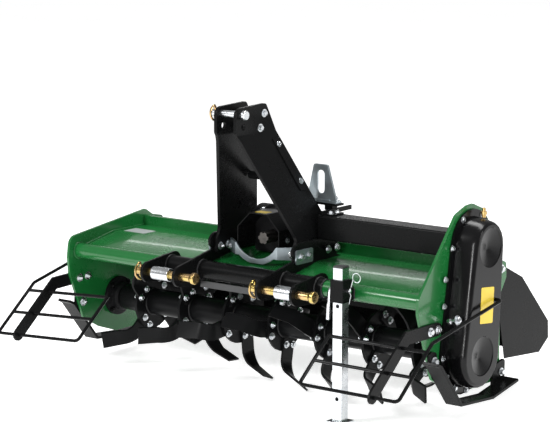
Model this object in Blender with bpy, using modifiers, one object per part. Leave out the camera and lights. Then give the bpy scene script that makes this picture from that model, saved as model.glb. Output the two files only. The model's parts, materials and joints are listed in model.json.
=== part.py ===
"""Rotary tiller for a three-point hitch, 1.2 m class, driven by a side chain case.

Metres, +Z up. The tractor is on the -Y side and the chain case on the +X side.
All shapes are drawn in the hitch frame, whose origin lies midway between the two
lower hitch pins. One empty lifts them onto the ground and centres them in Y.
"""
from math import acos, atan2, cos, hypot, pi, radians, sin, sqrt

import bmesh
import bpy
from mathutils import Matrix, Vector

# --- driving dimensions ---------------------------------------------------------
GAP = 0.0003             # air left between two parts that touch
SIDE_X = 0.6175          # outer face of both side plates
SIDE_T = 0.008           # thickness of a side plate
SIDE_IN = SIDE_X - SIDE_T
OUTSIDE = SIDE_X + GAP   # where a part bolted to the outside begins
INSIDE = SIDE_IN - GAP   # where a part between the side plates ends

TUBE_Y, TUBE_Z = 0.098, 0.006   # axis of the front tube
TUBE_R = 0.022
SLEEVE_R = 0.0265
SLEEVE_X = 0.285         # half length of the hitch sleeve

PIN_R = 0.011            # category 1 lower hitch pin
PIN_HOLE_R = PIN_R + GAP
NOSE_R = 0.030
HITCH_T = 0.008
HITCH_INNER_X = 0.145    # middle of the inner hitch plates
HITCH_OUTER_X = 0.260    # middle of the outer hitch plates
BUSHING_R = 0.0185
BUSHING_LENGTH = 0.060

MAST_HEIGHT = 0.460      # lower pins to top link pin
MAST_PIN_Y = 0.044
MAST_T = 0.010
MAST_TOP_X = 0.034       # middle of the upright top of a mast plate
MAST_FOLDS = (0.108, 0.400)      # heights between which a mast plate leans
MAST_TOP_PIN_R = 0.0095

DECK_T = 0.003
DECK_TOP = 0.042         # flat top of the deck
DECK_WALL_Y = 0.388
DECK_WALL_TOP = 0.071
HINGE_Y, HINGE_Z = 0.452, 0.045
HINGE_ROD_R = 0.007

PTO_Z = 0.097
PTO_END_Y = 0.190
PTO_R = 0.0175           # 1 3/8 inch, six splines
GEARBOX_FRONT_Y = 0.238
GEARBOX_TOP = 0.162
SHELF_TOP = 0.1968       # top of the shelf that carries the lifting lug
BEAM_X = 0.1415          # inner end of the cross-shaft housing, just outside the mast
BEAM_LOW, BEAM_TOP = 0.100, 0.168
BEAM_HALF = 0.035        # half width in Y
BEAM_WALL = 0.006

CHAIN_UP = (0.290, 0.135)    # upper sprocket centre, the cross shaft
CHAIN_LOW = (0.258, -0.153)  # lower sprocket centre, just ahead of the rotor
CHAIN_COVER_X = 0.683

ROTOR_Y, ROTOR_Z = 0.264, -0.155
ROTOR_TUBE_R = 0.038
ROTOR_STUB_R = 0.020
FLANGE_R = 0.080
FLANGE_T = 0.008
FLANGE_COUNT = 7
FLANGE_FIRST_X = -0.467
FLANGE_PITCH = 0.1625
TINE_TIP_R = 0.184
TINE_T = 0.007
TINE_REACH = 0.088       # sideways reach of a tine tip
TINE_TWIST = radians(16.4)        # angle between neighbouring flanges
TINE_START = radians(-40.0)       # first right-hand tine, from straight down to the front
TINE_HALF_TIP = radians(6.45)     # from the middle of a tip to its leading corner
TINE_LEAD = 0.020        # how far the shank runs ahead of the tip
TINE_RELIEF = 0.012      # how far the cutting corner of a tip stands below its middle

STAND_X, STAND_Y = 0.375, 0.042
STAND_SIZE = 0.030
STAND_TOP = 0.083
STAND_FOOT = 0.027       # half width of the foot

GUARD_OUT_X = 0.700
GUARD_SET = {"chain_side": (0.0, 0.0, 0.0), "bearing_side": (0.012, 0.015, 0.06)}
GUARD_IN_X = 0.392
GUARD_WIRE_R = 0.005
GUARD_RODS = ((-0.035, -0.086), (-0.100, -0.139), (-0.163, -0.190))

LOWEST_TINE = TINE_START + 3 * TINE_TWIST - TINE_HALF_TIP
LEVEL_SET = 2            # made a little longer, so that two sets meet the ground
LEVEL_STRETCH = cos(LOWEST_TINE) / cos(LOWEST_TINE - TINE_TWIST)
PIN_HEIGHT = -ROTOR_Z + TINE_TIP_R * cos(LOWEST_TINE)   # lower pins above the ground
GROUND_Z = -PIN_HEIGHT
FRONT_Y = GUARD_RODS[2][0] - 0.018   # the nose of the guard arms
REAR_Y = 0.7355                      # the rear edge of the tailboard
MIDDLE_Y = (FRONT_Y + REAR_Y) / 2

COLLECTION = "rotary_tiller"
CUTTERS = "cutters"

# local x, y and z of a flat outline, sent to world axes
PLANES = {
    "YZ": Matrix(((0, 0, 1, 0), (1, 0, 0, 0), (0, 1, 0, 0), (0, 0, 0, 1))),
    "XZ": Matrix(((1, 0, 0, 0), (0, 0, -1, 0), (0, 1, 0, 0), (0, 0, 0, 1))),
    "XY": Matrix.Identity(4),
}
ALONG = {
    "X": Matrix.Rotation(pi / 2, 4, "Y"),
    "Y": Matrix.Rotation(-pi / 2, 4, "X"),
    "Z": Matrix.Identity(4),
}


# --- materials ------------------------------------------------------------------
def material(name, colour, roughness, metallic):
    made = bpy.data.materials.get(name) or bpy.data.materials.new(name)
    made.use_nodes = True
    shader = made.node_tree.nodes["Principled BSDF"]
    shader.inputs["Base Color"].default_value = (*colour, 1.0)
    shader.inputs["Roughness"].default_value = roughness
    shader.inputs["Metallic"].default_value = metallic
    made.diffuse_color = (*colour, 1.0)
    return made


FINISHES = {
    "green": ((0.030, 0.200, 0.055), 0.30, 0.0),
    "black": ((0.022, 0.022, 0.024), 0.42, 0.0),
    "gloss_black": ((0.015, 0.015, 0.017), 0.25, 0.0),
    "zinc": ((0.70, 0.74, 0.78), 0.32, 1.0),
    "yellow_zinc": ((0.72, 0.52, 0.20), 0.35, 1.0),
    "galvanised": ((0.50, 0.53, 0.53), 0.50, 1.0),
    "steel": ((0.45, 0.44, 0.42), 0.45, 1.0),
    "cast_black": ((0.020, 0.020, 0.021), 0.60, 0.0),
}


# --- scene and object helpers ---------------------------------------------------
def collection(name):
    made = bpy.data.collections.new(name)
    bpy.context.scene.collection.children.link(made)
    return made


def empty(name, location, parent=None):
    made = bpy.data.objects.new(name, None)
    made.empty_display_size = 0.05
    made.parent = parent
    made.location = location
    bpy.data.collections[COLLECTION].objects.link(made)
    return made


class Holder:
    """Keeps the empties that carry the parts, and where each stands in the hitch frame."""
    places = {}


def add_carrier(name, place, parent=None):
    base = Holder.places[parent][1] if parent else Vector((0.0, MIDDLE_Y, -PIN_HEIGHT))
    node = empty(name, Vector(place) - base, Holder.places[parent][0] if parent else None)
    Holder.places[name] = (node, Vector(place))


def hand_in(obj, name, finish, carrier="frame_origin"):
    """Name a finished part, give it its own material and hang it on its carrier."""
    node, place = Holder.places[carrier]
    obj.name = name
    obj.data.name = name
    obj.data.materials.clear()
    obj.data.materials.append(material(name + "_" + finish, *FINISHES[finish]))
    obj.parent = node
    obj.location = obj.location - place
    return obj


def link(mesh, name, group=COLLECTION):
    obj = bpy.data.objects.new(name, mesh)
    bpy.data.collections[group].objects.link(obj)
    return obj


def mesh_of(obj, name):
    """A welded mesh of what an object's modifiers or curve make, in its own place."""
    graph = bpy.context.evaluated_depsgraph_get()
    graph.update()
    mesh = bpy.data.meshes.new_from_object(obj.evaluated_get(graph))
    mesh.transform(obj.matrix_world)
    shape = bmesh.new()
    shape.from_mesh(mesh)
    bmesh.ops.remove_doubles(shape, verts=shape.verts, dist=0.00001)
    bmesh.ops.recalc_face_normals(shape, faces=shape.faces)
    shape.to_mesh(mesh)
    shape.free()
    mesh.name = name
    return mesh


def freeze(obj):
    """Replace an object by the welded mesh it evaluates to."""
    name = obj.name
    mesh = mesh_of(obj, name)
    bpy.data.objects.remove(obj)
    return link(mesh, name)


def boolean(target, other, operation):
    bpy.data.collections[COLLECTION].objects.unlink(other)
    bpy.data.collections[CUTTERS].objects.link(other)
    other.hide_render = True
    step = target.modifiers.new(operation.lower(), "BOOLEAN")
    step.operation = operation
    step.solver = "EXACT"
    step.object = other
    merged = freeze(target)
    bpy.data.objects.remove(other)
    return merged


def union(first, *others):
    for other in others:
        first = boolean(first, other, "UNION")
    return first


def cut(target, *cutters):
    for cutter in cutters:
        target = boolean(target, cutter, "DIFFERENCE")
    return target


def smooth(obj, angle=35):
    obj.data.shade_smooth()
    obj.data.set_sharp_from_angle(angle=radians(angle))
    return obj


# --- flat outlines --------------------------------------------------------------
def arc(centre, radius, start, end, steps):
    """Points of an arc, angles in degrees, both ends included."""
    turn = [radians(start + (end - start) * i / steps) for i in range(steps + 1)]
    return [(centre[0] + radius * cos(a), centre[1] + radius * sin(a)) for a in turn]


def circle(centre, radius, steps=16):
    return arc(centre, radius, 0, 360, steps)[:-1]


def rounded(corners, steps=4):
    """A polygon of (x, y, radius) corners, each turned into an arc of that radius."""
    points = []
    for i, (x, y, radius) in enumerate(corners):
        if not radius:
            points.append((x, y))
            continue
        corner = Vector((x, y))
        back = (Vector(corners[i - 1][:2]) - corner).normalized()
        ahead = (Vector(corners[(i + 1) % len(corners)][:2]) - corner).normalized()
        half = acos(max(-1.0, min(1.0, back.dot(ahead)))) / 2
        middle = corner + (back + ahead).normalized() * radius / sin(half)
        first = corner + back * radius * cos(half) / sin(half) - middle
        last = corner + ahead * radius * cos(half) / sin(half) - middle
        start = atan2(first.y, first.x)
        sweep = (atan2(last.y, last.x) - start + pi) % (2 * pi) - pi
        for k in range(steps + 1):
            angle = start + sweep * k / steps
            points.append((middle.x + radius * cos(angle), middle.y + radius * sin(angle)))
    return points


def strip(path, thickness):
    """The outline of a bent sheet: its upper side as given, its lower side offset."""
    points = [Vector(p) for p in path]
    lower = []
    for i, point in enumerate(points):
        runs = [points[j + 1] - points[j] for j in (i - 1, i) if 0 <= j < len(points) - 1]
        sides = [Vector((run.y, -run.x)).normalized() for run in runs]
        side = sum(sides, Vector((0, 0))).normalized()
        lower.append(point + side * thickness / side.dot(sides[0]))
    return [tuple(p) for p in points] + [tuple(p) for p in reversed(lower)]


def bar(path, width, steps=5):
    """The outline of a flat bar along a path, with round ends."""
    points = [Vector(p) for p in path]
    half = width / 2
    left, right = [], []
    for i, point in enumerate(points):
        runs = [points[j + 1] - points[j] for j in (i - 1, i) if 0 <= j < len(points) - 1]
        sides = [Vector((-run.y, run.x)).normalized() for run in runs]
        side = sum(sides, Vector((0, 0))).normalized()
        offset = side * half / side.dot(sides[0])
        left.append(tuple(point + offset))
        right.append(tuple(point - offset))
    tail, head = points[1] - points[0], points[-1] - points[-2]
    head_angle = atan2(head.y, head.x) * 180 / pi
    tail_angle = atan2(tail.y, tail.x) * 180 / pi
    cap_head = arc(points[-1], half, head_angle + 90, head_angle - 90, steps)
    cap_tail = arc(points[0], half, tail_angle - 90, tail_angle - 270, steps)
    return left[1:-1] + cap_head + list(reversed(right[1:-1])) + cap_tail


def belt(radius_up, radius_low, steps=10):
    """The outline of a belt round the two chain sprockets."""
    up, low = Vector(CHAIN_UP), Vector(CHAIN_LOW)
    away = up - low
    lean = acos((radius_low - radius_up) / away.length) * 180 / pi
    axis = atan2(away.y, away.x) * 180 / pi
    over = arc(up, radius_up, axis - lean, axis + lean, steps)
    under = arc(low, radius_low, axis + lean, axis + 360 - lean, steps + 2)
    return over + under


# --- solids ---------------------------------------------------------------------
def flat(name, plane, low, high, *loops):
    """A flat outline, with any holes, between two places along the plane's normal."""
    curve = bpy.data.curves.new(name, "CURVE")
    curve.dimensions = "2D"
    curve.fill_mode = "BOTH"
    curve.extrude = (high - low) / 2
    for loop in loops:
        spline = curve.splines.new("POLY")
        spline.points.add(len(loop) - 1)
        for point, place in zip(spline.points, loop):
            point.co = (place[0], place[1], 0.0, 1.0)
        spline.use_cyclic_u = True
    obj = bpy.data.objects.new(name, curve)
    bpy.data.collections[COLLECTION].objects.link(obj)
    towards = -1 if plane == "XZ" else 1
    obj.matrix_world = PLANES[plane] @ Matrix.Translation((0, 0, towards * (low + high) / 2))
    return freeze(obj)


def box(name, low, high, bevel=0.0):
    shape = bmesh.new()
    size = [b - a for a, b in zip(low, high)]
    middle = [(a + b) / 2 for a, b in zip(low, high)]
    place = Matrix.Translation(middle) @ Matrix.Diagonal((*size, 1.0))
    bmesh.ops.create_cube(shape, size=1.0, matrix=place)
    if bevel:
        bmesh.ops.bevel(shape, geom=shape.edges, offset=bevel, segments=2, profile=0.5,
                        affect="EDGES")
    mesh = bpy.data.meshes.new(name)
    shape.to_mesh(mesh)
    shape.free()
    return link(mesh, name)


def turned(name, profile, axis, place, steps=24):
    """A solid of revolution: (radius, height) from top to bottom of its outer side."""
    mesh = bpy.data.meshes.new(name)
    points = [(r, 0.0, h) for r, h in profile]
    mesh.from_pydata(points, [(i, i + 1) for i in range(len(points) - 1)], [])
    obj = link(mesh, name)
    obj.matrix_world = Matrix.Translation(place) @ ALONG[axis]
    screw = obj.modifiers.new("turn", "SCREW")
    screw.steps = screw.render_steps = steps
    screw.use_merge_vertices = True
    screw.merge_threshold = 0.0001
    screw.use_normal_calculate = True
    return freeze(obj)


def rod(name, radius, axis, low, high, place, steps=24):
    """A plain round bar between two places along its axis."""
    profile = ((0.0, high), (radius, high), (radius, low), (0.0, low))
    return turned(name, profile, axis, place, steps)


def bend(points, radius, steps=4):
    """A 3-D path whose inner corners become arcs."""
    path = [Vector(points[0])]
    for before, corner, after in zip(points, points[1:], points[2:]):
        corner = Vector(corner)
        back = (Vector(before) - corner).normalized()
        ahead = (Vector(after) - corner).normalized()
        half = acos(max(-1.0, min(1.0, back.dot(ahead)))) / 2
        reach = radius * cos(half) / sin(half)
        middle = corner + (back + ahead).normalized() * radius / sin(half)
        first = (corner + back * reach - middle).normalized()
        last = (corner + ahead * reach - middle).normalized()
        for k in range(steps + 1):
            path.append(middle + first.slerp(last, k / steps) * radius)
    path.append(Vector(points[-1]))
    return path


def wire(name, points, radius, cyclic=False):
    """A round wire along a path."""
    curve = bpy.data.curves.new(name, "CURVE")
    curve.dimensions = "3D"
    curve.bevel_depth = radius
    curve.bevel_resolution = 2
    curve.use_fill_caps = not cyclic
    spline = curve.splines.new("POLY")
    spline.points.add(len(points) - 1)
    for point, place in zip(spline.points, points):
        point.co = (*place, 1.0)
    spline.use_cyclic_u = cyclic
    obj = bpy.data.objects.new(name, curve)
    bpy.data.collections[COLLECTION].objects.link(obj)
    return freeze(obj)


def loft(name, rings):
    """A closed body through rings that hold the same number of points."""
    shape = bmesh.new()
    loops = [[shape.verts.new(p) for p in ring] for ring in rings]
    for low, high in zip(loops, loops[1:]):
        for i, corner in enumerate(low):
            j = (i + 1) % len(low)
            shape.faces.new((corner, low[j], high[j], high[i]))
    shape.faces.new(list(reversed(loops[0])))
    shape.faces.new(loops[-1])
    bmesh.ops.recalc_face_normals(shape, faces=shape.faces)
    mesh = bpy.data.meshes.new(name)
    shape.to_mesh(mesh)
    shape.free()
    return link(mesh, name)


# --- frame: side plates, tube and deck ------------------------------------------
LOWER_EDGE = (                       # shared by both side plates, rear to front
    (0.476, 0.060, 0.010), (0.478, 0.018, 0.012), (0.444, -0.030, 0.030),
    (0.452, -0.238, 0.015), (0.425, -0.262, 0.015), (0.255, -0.262, 0.050),
    (0.184, -0.238, 0.020), (0.114, -0.200, 0.020),
)


def make_side_plates():
    chain_side = ((0.060, -0.054, 0.01), (0.046, -0.014, 0.012), (0.048, 0.024, 0.010),
                  (0.220, 0.224, 0.03), (0.274, 0.242, 0.015), (0.303, 0.244, 0.015),
                  (0.350, 0.226, 0.02), (0.385, 0.185, 0.03), (0.425, 0.080, 0.03))
    outline = rounded(LOWER_EDGE + chain_side)
    plate = flat("plate", "YZ", SIDE_IN, SIDE_X, outline)
    hand_in(plate, "side_plate_chain_side", "green")

    bearing_side = ((0.057, -0.060, 0.01), (0.052, -0.010, 0.006), (0.060, 0.050, 0.030),
                    (0.397, 0.090, 0.018), (0.428, 0.070, 0.015))
    outline = rounded(LOWER_EDGE + bearing_side)
    plate = flat("plate", "YZ", -SIDE_X, -SIDE_IN, outline)
    hand_in(plate, "side_plate_bearing_side", "green")


def deck_height(y):
    """Top of the deck's sloping front panel and flat top at a given Y."""
    slope_end = 0.245
    if y >= slope_end:
        return DECK_TOP
    return 0.0185 + (y - 0.1235) * (DECK_TOP - 0.0185) / (slope_end - 0.1235)


def make_frame():
    tube = rod("tube", TUBE_R, "X", -INSIDE, INSIDE, (0, TUBE_Y, TUBE_Z))
    hand_in(smooth(tube), "front_tube", "green")

    ring = circle((TUBE_Y, TUBE_Z), SLEEVE_R, 24)
    bore = circle((TUBE_Y, TUBE_Z), TUBE_R + GAP, 24)
    hand_in(smooth(flat("sleeve", "YZ", -SLEEVE_X, SLEEVE_X, ring, bore)),
            "hitch_sleeve", "black")

    surface = ((0.1235, deck_height(0.1235)), (0.245, DECK_TOP), (DECK_WALL_Y, DECK_TOP),
               (DECK_WALL_Y, DECK_WALL_TOP), (0.402, DECK_WALL_TOP), (0.402, 0.012))
    hand_in(flat("deck", "YZ", -INSIDE, INSIDE, strip(surface, DECK_T)), "deck_hood", "green")

    hinge = rod("rod", HINGE_ROD_R, "X", -INSIDE, INSIDE, (0, HINGE_Y, HINGE_Z), 16)
    hand_in(smooth(hinge), "tailboard_hinge_rod", "black")


# --- hitch ----------------------------------------------------------------------
def hook_loop(upper):
    """A hitch plate hooked over the sleeve: a nose round the pin, then its upper edge."""
    clear = SLEEVE_R + GAP
    foot_y = 0.110
    foot_z = TUBE_Z - sqrt(clear ** 2 - (foot_y - TUBE_Y) ** 2)
    start = atan2(foot_z - TUBE_Z, foot_y - TUBE_Y) * 180 / pi
    nose = arc((0, 0), NOSE_R, 110, 270 - 12, 8)
    below = [(0.085, -0.036), (foot_y, -0.036), (foot_y, foot_z)]
    hook = arc((TUBE_Y, TUBE_Z), clear, start, -332, 26)[1:]
    return nose + below + hook + upper


def make_hitch():
    for side, word in ((1, "chain_side"), (-1, "bearing_side")):
        inner_upper = [(0.130, deck_height(0.130) + GAP), (0.245, DECK_TOP + GAP),
                       (0.356, DECK_TOP + GAP)]
        inner_upper += rounded(((0.356, 0.104, 0.012), (0.150, 0.104, 0.03),
                                (0.044, 0.036, 0.02)))[:15]
        outer_upper = [(0.130, deck_height(0.130) + GAP), (0.140, deck_height(0.140) + GAP)]
        outer_upper += arc((0.113, 0.0145), 0.0275, 38, 108, 4)
        for x, upper, place in ((HITCH_INNER_X, inner_upper, "inner"),
                                (HITCH_OUTER_X, outer_upper, "outer")):
            low, high = sorted((side * (x - HITCH_T / 2), side * (x + HITCH_T / 2)))
            plate = flat("plate", "YZ", low, high, hook_loop(upper),
                         circle((0, 0), PIN_HOLE_R, 20))
            hand_in(plate, f"hitch_plate_{word}_{place}", "black")

        middle = 0.2255 if side > 0 else -0.207
        half = BUSHING_LENGTH / 2
        sleeve = flat("bushing", "YZ", middle - half, middle + half,
                      circle((0, 0), BUSHING_R, 24), circle((0, 0), PIN_R + GAP, 20))
        hand_in(smooth(sleeve), f"pin_bushing_{word}", "zinc")

        head_x = 0.312 if side > 0 else -0.096
        tail_x = 0.108 if side > 0 else -0.298
        make_pin(f"lower_pin_{word}", f"lower_linch_pin_{word}", (0, 0), PIN_R, 0.0165,
                 head_x, tail_x, 0.024)


def make_pin(name, linch_name, place, radius, head_radius, head_x, tail_x, ring_r,
             cone=0.008, finish="yellow_zinc"):
    """A hitch pin along X with its head towards +X, and the linch pin through its tail."""
    y, z = place
    profile = ((0.0, head_x + 0.010), (head_radius - 0.002, head_x + 0.010),
               (head_radius, head_x + 0.008), (head_radius, head_x),
               (radius, head_x - cone), (radius, tail_x + 0.003),
               (radius - 0.003, tail_x), (0.0, tail_x))
    pin = turned("pin", profile, "X", (0, y, z), 24)
    hole_x = tail_x + 0.012
    wire_r = 0.0032
    drill = rod("drill", wire_r + 0.0003, "Z", -0.03, 0.03, (hole_x, y, z), 12)
    hand_in(smooth(cut(pin, drill)), name, finish)

    loop = [(hole_x, y, z - ring_r * 0.78), (hole_x, y, z + ring_r * 0.75)]
    loop += [(hole_x, y - ring_r * sin(radians(a)), z + ring_r * cos(radians(a)))
             for a in range(10, 181, 17)]
    hand_in(smooth(wire("linch", loop, wire_r)), linch_name, "yellow_zinc")


def mast_sheet(side):
    """The bent sheet that a mast plate is cut from, seen from the front."""
    foot_x = HITCH_INNER_X - HITCH_T / 2 - GAP - MAST_T / 2
    half = MAST_T / 2
    low, high = MAST_FOLDS
    spine = ((MAST_TOP_X - half, 0.505), (MAST_TOP_X - half, high),
             (foot_x - half, low), (foot_x - half, 0.040))
    outline = strip(spine, -MAST_T)
    outline = [(side * x, z) for x, z in outline]
    return flat("sheet", "XZ", -0.05, 0.42, outline)


def make_mast():
    low, high = MAST_FOLDS
    outline = rounded((
        (0.021, high + 0.008, 0.01), (0.036, high - 0.014, 0.02), (0.163, low, 0.02),
        (0.148, 0.088, 0.008),
        (0.148, 0.046, 0.006), (0.350, 0.046, 0.006), (0.350, 0.092, 0.01),
        (0.332, low, 0.012), (0.199, high, 0.02), (0.152, 0.483, 0.012),
        (0.021, 0.478, 0.022)), 3)
    holes = [circle((MAST_PIN_Y, MAST_HEIGHT), MAST_TOP_PIN_R + GAP, 20),
             circle((0.052, 0.426), 0.0095, 16)]
    for side, word in ((1, "chain_side"), (-1, "bearing_side")):
        plate = mast_sheet(side)
        near, far = sorted((side * 0.02, side * 0.16))
        pattern = flat("pattern", "YZ", near, far, outline, *holes)
        hand_in(boolean(plate, pattern, "INTERSECT"), f"mast_plate_{word}", "black")

    foot_x = HITCH_INNER_X - HITCH_T / 2 - GAP - MAST_T / 2
    lean = (foot_x - MAST_TOP_X) / (high - low)
    spread = MAST_TOP_X - MAST_T / 2 + (high - 0.278) * lean - GAP
    spacer = rod("spacer", 0.011, "X", -spread, spread, (0, 0.222, 0.266), 16)
    hand_in(smooth(spacer), "mast_spacer", "black")

    make_pin("top_link_pin", "top_link_linch_pin", (MAST_PIN_Y, MAST_HEIGHT),
             MAST_TOP_PIN_R, 0.0135, 0.0465, -0.064, 0.021, 0.003, "zinc")


# --- drive ----------------------------------------------------------------------
def make_gearbox():
    low_z = DECK_TOP + GAP
    body = box("body", (-0.082, GEARBOX_FRONT_Y + 0.012, low_z), (0.085, 0.350, GEARBOX_TOP),
               0.012)
    neck = rod("neck", 0.044, "Y", GEARBOX_FRONT_Y, 0.270, (0, 0, PTO_Z), 24)
    cheek = rod("cheek", 0.050, "X", -0.094, -0.060, (0, 0.306, CHAIN_UP[1] - 0.012), 24)
    outlet = rod("outlet", 0.033, "X", 0.060, 0.106, (0, *CHAIN_UP), 24)
    plug = rod("plug", 0.014, "Z", 0.160, GEARBOX_TOP + 0.012, (-0.02, 0.315, 0), 6)
    body = union(body, neck, cheek, outlet, plug)
    bore = rod("bore", PTO_R + 0.001, "Y", GEARBOX_FRONT_Y - 0.01, GEARBOX_FRONT_Y + 0.022,
               (0, 0, PTO_Z), 24)
    hand_in(smooth(cut(body, bore), 30), "gearbox", "cast_black")

    root, tip, teeth = PTO_R - 0.003, PTO_R, 6
    outline = []
    for tooth in range(teeth):
        for part, radius in ((-0.36, root), (-0.22, tip), (0.0, tip), (0.22, tip), (0.36, root)):
            angle = (tooth + part) * 2 * pi / teeth
            outline.append((radius * cos(angle), PTO_Z + radius * sin(angle)))
    shaft = flat("shaft", "XZ", PTO_END_Y, GEARBOX_FRONT_Y + 0.018, outline)
    hand_in(shaft, "pto_shaft", "steel", "pto_carrier")

    section = []
    for inset, radius in ((0.0, 0.006), (BEAM_WALL, 0.0)):
        near, far = CHAIN_UP[0] - BEAM_HALF + inset, CHAIN_UP[0] + BEAM_HALF - inset
        low, high = BEAM_LOW + inset, BEAM_TOP - inset
        section.append(rounded(((near, low, radius), (far, low, radius), (far, high, radius),
                                (near, high, radius)), 3))
    hand_in(flat("beam", "YZ", BEAM_X, INSIDE, *section), "cross_shaft_housing", "black")


def make_drive_brackets():
    shell_out, shell_in = 0.0735, 0.0705
    corners = [(a + 22.5) for a in range(-90, 270, 45)][1:7]
    scale = 1 / cos(radians(22.5))
    outer = [(shell_out * scale * cos(radians(a)), PTO_Z + shell_out * scale * sin(radians(a)))
             for a in corners]
    inner = [(shell_in * scale * cos(radians(a)), PTO_Z + shell_in * scale * sin(radians(a)))
             for a in reversed(corners)]
    guard = flat("guard", "XZ", 0.167, 0.246, outer + inner)
    hand_in(guard, "pto_guard", "black")

    notch_r, rib = 0.081, 0.016
    top, low = 0.083, 0.045
    centre = (0.0, 0.124)
    inside = arc(centre, notch_r, -30.4, -149.6, 10)
    under = arc(centre, notch_r + rib, -129, -51, 8)
    outline = ([(-0.131, low)] + under + [(0.131, low), (0.131, top)] + inside
               + [(-0.131, top)])
    bent = strip(((-0.127, 0.203), (-0.0735, 0.157), (0.0735, 0.157), (0.127, 0.203)), -0.006)
    sheet = flat("sheet", "XY", 0.03, 0.11, bent)
    pattern = flat("pattern", "XZ", 0.12, 0.24, outline)
    hand_in(boolean(sheet, pattern, "INTERSECT"), "driveline_cradle", "galvanised")

    upright = box("upright", (0.150, 0.256, BEAM_TOP + GAP), (0.156, 0.396, 0.181))
    ledge = box("ledge", (0.155, 0.262, BEAM_TOP + GAP), (0.185, 0.318, BEAM_TOP + 0.005))
    shelf = box("shelf", (0.030, 0.296, SHELF_TOP - 0.006), (0.176, 0.330, SHELF_TOP))
    riser = box("riser", (0.128, 0.304, 0.176), (0.155, 0.328, SHELF_TOP - 0.005))
    post = box("post", (0.032, 0.300, GEARBOX_TOP + GAP), (0.056, 0.328, SHELF_TOP - 0.005))
    hand_in(union(upright, ledge, shelf, riser, post), "gearbox_support", "black")

    low, high = 0.203, 0.304
    face = rounded(((0.070, low, 0.004), (0.172, low, 0.004), (0.141, high, 0.006),
                    (0.093, high, 0.006)), 3)
    slot = rounded(((0.1055, 0.222, 0.012), (0.1305, 0.222, 0.012), (0.1305, 0.288, 0.012),
                    (0.1055, 0.288, 0.012)), 5)
    plate = flat("lug", "XZ", 0.300, 0.306, face, slot)
    foot = box("foot", (0.070, 0.298, SHELF_TOP + GAP), (0.172, 0.324, 0.2035))
    hand_in(union(plate, foot), "lifting_lug", "galvanised")


def make_chain_case():
    flange = flat("flange", "YZ", OUTSIDE, OUTSIDE + 0.006, belt(0.097, 0.112))
    levels = ((0.6225, 0.078, 0.092), (0.640, 0.0755, 0.0905), (0.664, 0.0715, 0.088),
              (0.676, 0.068, 0.085), (0.681, 0.064, 0.081), (CHAIN_COVER_X, 0.060, 0.077))
    rings = [[(x, y, z) for y, z in belt(up, low)] for x, up, low in levels]
    case = union(flange, loft("body", rings))
    for centre in (CHAIN_UP, CHAIN_LOW):
        profile = ((0.0, 0.030), (0.062, 0.030), (0.054, 0.0), (0.0515, -0.0028), (0.010, -0.0125),
                   (0.0, -0.013))
        dish = turned("dish", profile, "X", (CHAIN_COVER_X, *centre), 28)
        case = cut(case, dish)
    room = flat("room", "YZ", SIDE_X - 0.01, 0.6655, belt(0.0695, 0.0845))
    hand_in(smooth(cut(case, room)), "chain_case", "gloss_black")

    vent_y, vent_x = 0.307, 0.648
    top = CHAIN_UP[1] + sqrt(0.0755 ** 2 - (vent_y - CHAIN_UP[0]) ** 2) + 0.0012
    profile = ((0.0, 0.026), (0.004, 0.026), (0.0052, 0.022), (0.0052, 0.016),
               (0.0085, 0.016), (0.0085, 0.008), (0.006, 0.008), (0.006, 0.0), (0.0, 0.0))
    vent = turned("vent", profile, "Z", (vent_x, vent_y, top), 12)
    hand_in(smooth(vent), "oil_breather", "yellow_zinc")


# --- rotor ----------------------------------------------------------------------
def make_rotor_bearings():
    for side, word in ((1, "chain_side"), (-1, "bearing_side")):
        profile = ((ROTOR_STUB_R + 0.001, 0.034), (0.036, 0.034), (0.042, 0.028),
                   (0.042, 0.014), (0.058, 0.010), (0.058, 0.0), (ROTOR_STUB_R + 0.001, 0.0),
                   (ROTOR_STUB_R + 0.001, 0.034))
        bearing = turned("bearing", profile, "X", (0, 0, 0), 28)
        turn = Matrix.Rotation(pi, 4, "Z") if side > 0 else Matrix.Identity(4)
        place = Matrix.Translation((side * INSIDE, ROTOR_Y, ROTOR_Z)) @ turn
        bearing.data.transform(place)
        hand_in(smooth(bearing), f"rotor_bearing_{word}", "cast_black")


def tine(side):
    """One blade, pointing along -Z with its cutting edge towards +Y, reaching to one side.

    The spine runs out along the flange, turns over in an arc and ends in a flat tip.
    """
    start, straight = 0.044, 0.112
    bend_r = 0.056
    over = radians(62)
    offset = FLANGE_T / 2 + TINE_T / 2 - 0.0006
    spine = [(start, 0.0, 0.0), (0.5 * (start + straight), 0.0, 0.0)]
    steps = 6
    for k in range(steps + 1):
        angle = over * k / steps
        spine.append((straight + bend_r * sin(angle), bend_r * (1 - cos(angle)), angle))
    out, reach, _ = spine[-1]
    last = (TINE_REACH - offset - reach) / sin(over)
    spine.append((out + last * cos(over), TINE_REACH - offset, over))
    rings = []
    for i, (out, reach, angle) in enumerate(spine):
        share = i / (len(spine) - 1)
        lead = TINE_LEAD * (1 - share ** 2)          # the shank runs ahead of the tip
        half = 0.027 - 0.004 * share
        normal = Vector((side * cos(angle), 0, sin(angle))) * TINE_T / 2
        centre = Vector((side * (offset + reach), lead, -out))
        across = Vector((0, half, -TINE_RELIEF * share ** 2))
        rings.append([centre + across + normal, centre - across + normal,
                      centre - across - normal, centre + across - normal])
    return loft("tine", rings)


def tip_radius(side):
    """Farthest reach of one blade from the rotor axis."""
    blade = tine(side)
    far = max(hypot(v.co.y, v.co.z) for v in blade.data.vertices)
    bpy.data.objects.remove(blade)
    return far


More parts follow.
